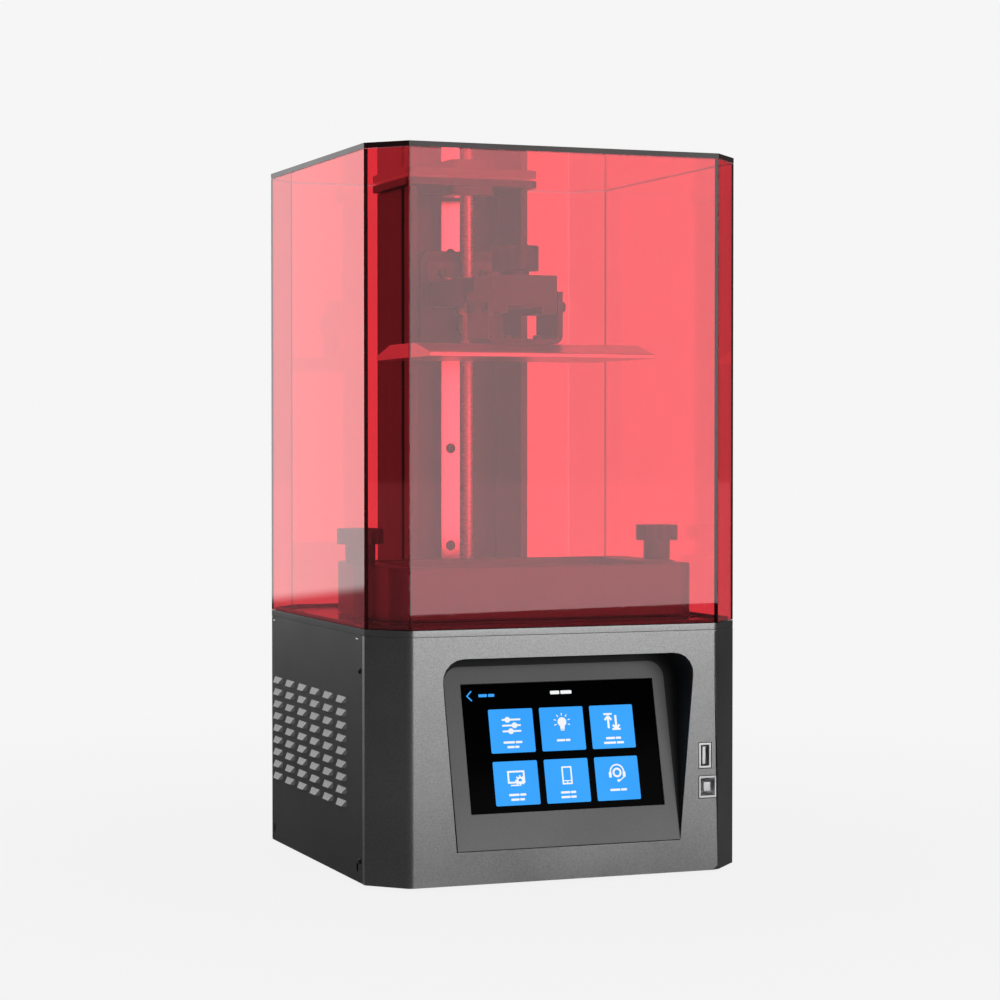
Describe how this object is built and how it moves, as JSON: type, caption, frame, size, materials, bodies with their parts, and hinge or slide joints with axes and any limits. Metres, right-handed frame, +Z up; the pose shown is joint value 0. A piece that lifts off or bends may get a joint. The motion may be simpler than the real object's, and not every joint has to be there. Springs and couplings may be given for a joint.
{
  "type": "resin printer",
  "caption": "Desktop resin 3-D printer with a grey octagonal base, leaning touch screen, louvred sides, metal vat and a lift-off tinted cover over the Z axis.",
  "frame": {"origin": "on the floor under the middle of the base", "axes": "+X to the printer's right, -Y out of the screen side, +Z up"},
  "size_m": [0.221, 0.221, 0.404],
  "materials": {
    "front_paint": "satin grey powder coat",
    "side_paint": "satin dark grey powder coat",
    "deck_paint": "satin black",
    "bezel_plastic": "moulded, fine texture",
    "display_glass": "black glass",
    "red_acrylic": "clear tinted acrylic, polished",
    "column_alloy": "grey anodised extrusion",
    "black_alloy": "black anodised",
    "vat_alloy": "dark anodised, satin",
    "plate_alloy": "brushed",
    "bright_steel": "ground and polished",
    "motor_black": "satin black",
    "brass": "turned",
    "black_plastic": "moulded black",
    "rubber": "matt",
    "circuit_board": "solder mask",
    "reflector": "white",
    "clear_film": "clear film"
  },
  "bodies": {
    "base": {"front_housing": "front_paint", "side_panel_left": "side_paint", "side_panel_right": "side_paint", "rear_panel": "side_paint", "bottom_plate": "side_paint", "top_deck": "deck_paint", "screen_bezel": "bezel_plastic", "touch_display": "display_glass", "masking_lcd": "display_glass", "z_column": "column_alloy", "column_cap": "column_alloy", "led_heatsink": "plate_alloy", "linear_rail": "bright_steel", "screw_bearing": "bright_steel", "usb_a_socket": "bright_steel", "usb_b_socket": "bright_steel", "z_motor": "motor_black", "led_fan_frame": "black_plastic", "exhaust_fan_frame": "black_plastic", "switch_housing": "black_plastic", "dc_inlet": "black_plastic", "limit_switch": "black_plastic", "foot_1": "rubber", "foot_2": "rubber", "foot_3": "rubber", "foot_4": "rubber", "main_board": "circuit_board", "usb_board": "circuit_board", "led_board": "circuit_board", "light_hood": "reflector"},
    "cover": {"cover_front_left": "red_acrylic", "cover_front": "red_acrylic", "cover_front_right": "red_acrylic", "cover_right": "red_acrylic", "cover_rear_right": "red_acrylic", "cover_rear": "red_acrylic", "cover_rear_left": "red_acrylic", "cover_left": "red_acrylic", "cover_top": "red_acrylic"},
    "carriage": {"rail_block": "bright_steel", "carriage_plate": "black_alloy", "platform_arm": "black_alloy", "screw_nut": "brass"},
    "lead_screw": {"lead_screw": "bright_steel"},
    "platform": {"platform_block": "black_alloy", "levelling_screw_1": "bright_steel", "levelling_screw_2": "bright_steel", "levelling_screw_3": "bright_steel", "levelling_screw_4": "bright_steel"},
    "build_head": {"platform_bracket": "black_alloy", "build_plate": "plate_alloy"},
    "clamp_knob": {"clamp_knob": "black_plastic"},
    "vat": {"vat_body": "vat_alloy", "release_film": "clear_film", "film_ring": "black_alloy"},
    "vat_knob_left": {"vat_knob_left": "black_plastic"},
    "vat_knob_right": {"vat_knob_right": "black_plastic"},
    "led_fan": {"led_fan_rotor": "black_plastic"},
    "exhaust_fan": {"exhaust_fan_rotor": "black_plastic"},
    "switch_rocker": {"switch_rocker": "black_plastic"}
  },
  "joints": [
    {"name": "cover_lift", "type": "slide", "parent": "base", "child": "cover", "axis": [0, 0, 1], "range_m": [0, 0.27]},
    {"name": "z_travel", "type": "slide", "parent": "base", "child": "carriage", "axis": [0, 0, 1], "range_m": [-0.145, 0.02]},
    {"name": "lead_screw_turn", "type": "hinge", "parent": "base", "child": "lead_screw", "pos_m": [0, 0.0494, 0.141], "axis": [0, 0, 1], "continuous": true},
    {"name": "platform_release", "type": "slide", "parent": "carriage", "child": "platform", "axis": [0, -1, 0], "range_m": [0, 0.03]},
    {"name": "plate_level", "type": "hinge", "parent": "platform", "child": "build_head", "pos_m": [0, -0.03, 0.32], "axis": [1, 0, 0], "range_deg": [-1, 1]},
    {"name": "clamp_turn", "type": "hinge", "parent": "platform", "child": "clamp_knob", "pos_m": [0, -0.03, 0.345], "axis": [0, 0, 1], "range_deg": [0, 720]},
    {"name": "vat_lift", "type": "slide", "parent": "base", "child": "vat", "axis": [0, 0, 1], "range_m": [0, 0.1]},
    {"name": "vat_knob_left_turn", "type": "hinge", "parent": "vat", "child": "vat_knob_left", "pos_m": [-0.0909, -0.0272, 0.189], "axis": [0, 0, 1], "range_deg": [0, 1080]},
    {"name": "vat_knob_right_turn", "type": "hinge", "parent": "vat", "child": "vat_knob_right", "pos_m": [0.0909, -0.0272, 0.189], "axis": [0, 0, 1], "range_deg": [0, 1080]},
    {"name": "led_fan_spin", "type": "hinge", "parent": "base", "child": "led_fan", "pos_m": [0, -0.03, 0.025], "axis": [0, 0, 1], "continuous": true},
    {"name": "exhaust_fan_spin", "type": "hinge", "parent": "base", "child": "exhaust_fan", "pos_m": [-0.04, 0.1, 0.075], "axis": [0, 1, 0], "continuous": true},
    {"name": "switch_rock", "type": "hinge", "parent": "base", "child": "switch_rocker", "pos_m": [0.06, 0.1085, 0.062], "axis": [1, 0, 0], "range_deg": [0, 20]}
  ],
  "couplings": [
    {"joint": "lead_screw_turn", "follows": "z_travel", "rad_per_m": -1570.8}
  ]
}
